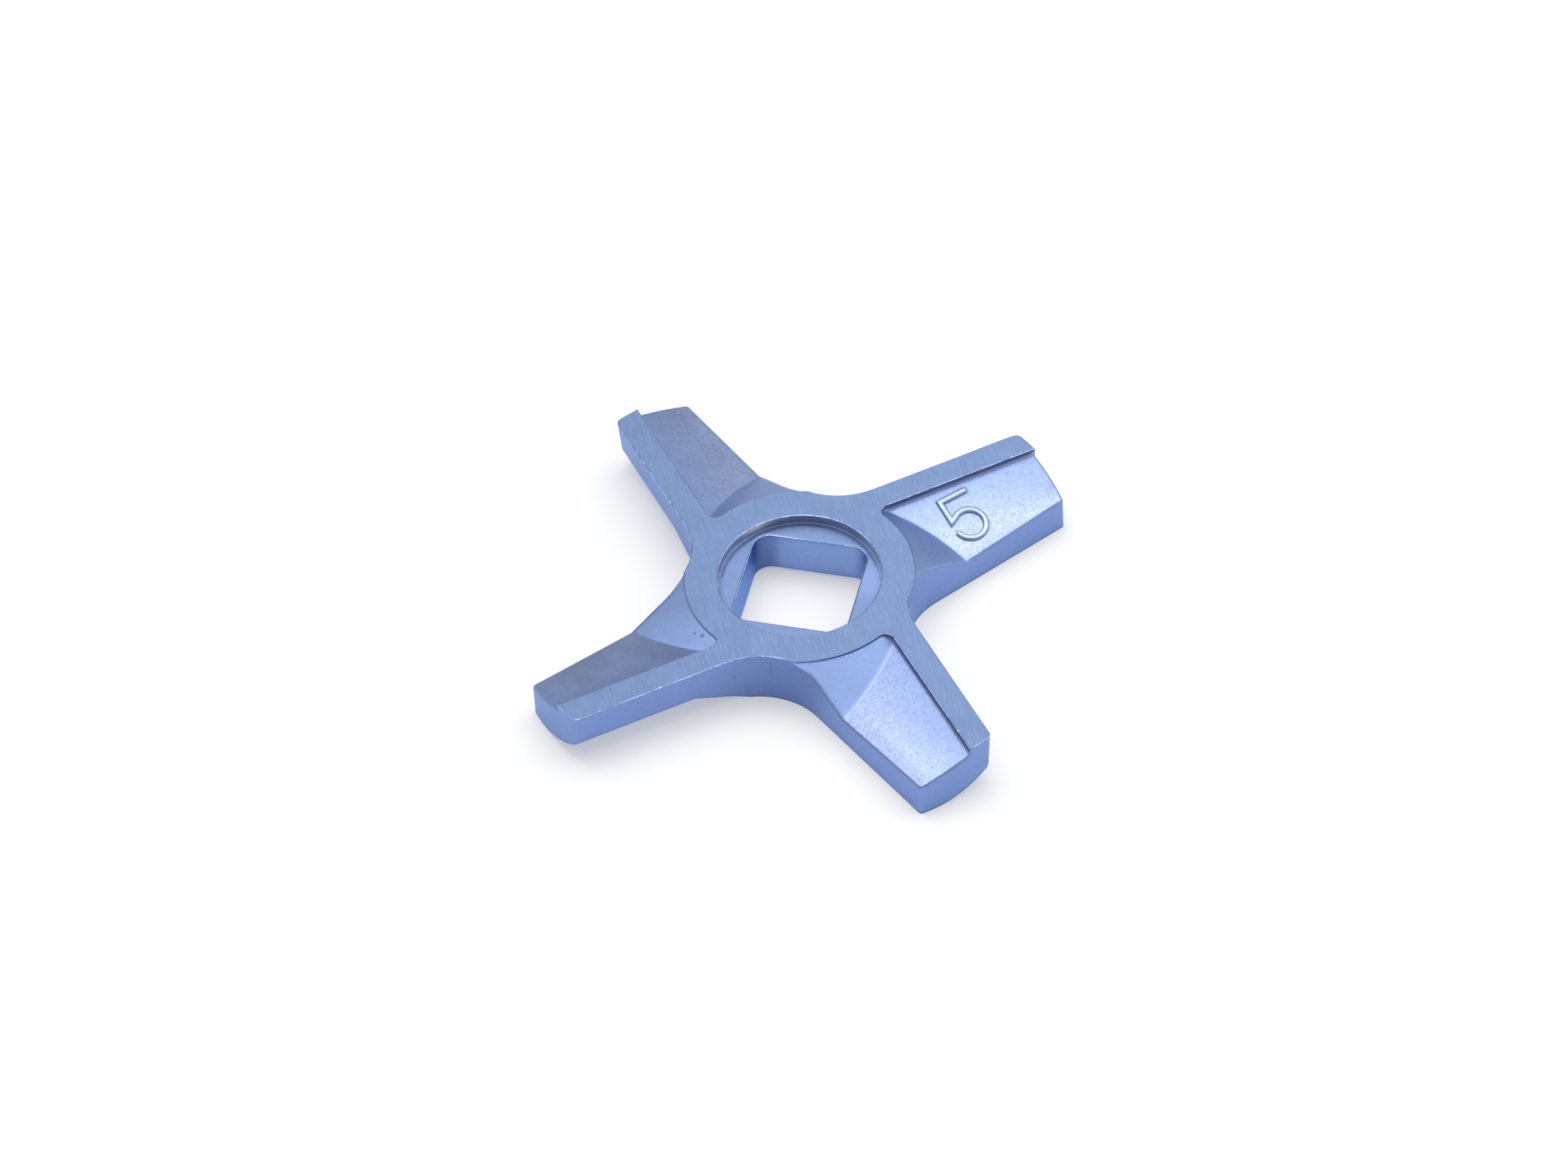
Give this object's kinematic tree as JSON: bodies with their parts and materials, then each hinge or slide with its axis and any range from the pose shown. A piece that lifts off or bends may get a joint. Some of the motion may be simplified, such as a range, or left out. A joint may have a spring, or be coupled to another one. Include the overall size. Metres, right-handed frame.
{
  "type": "meat grinder knife",
  "caption": "Cross-shaped cast knife for a meat grinder, with ground cutting rails, sloping troughs, a round hub recess and a square drive hole.",
  "frame": {"origin": "centre of the underside, on the axis of the square drive hole", "axes": "+Z along the axis of the drive hole, from the underside to the ground cutting face; +X along the arm with the raised size numeral"},
  "size_m": [0.047, 0.047, 0.0051],
  "materials": {
    "knife": "ground cutting face with parallel grinding lines, satin blasted cast surface elsewhere"
  },
  "bodies": {
    "root": {"knife": "knife"}
  },
  "joints": []
}
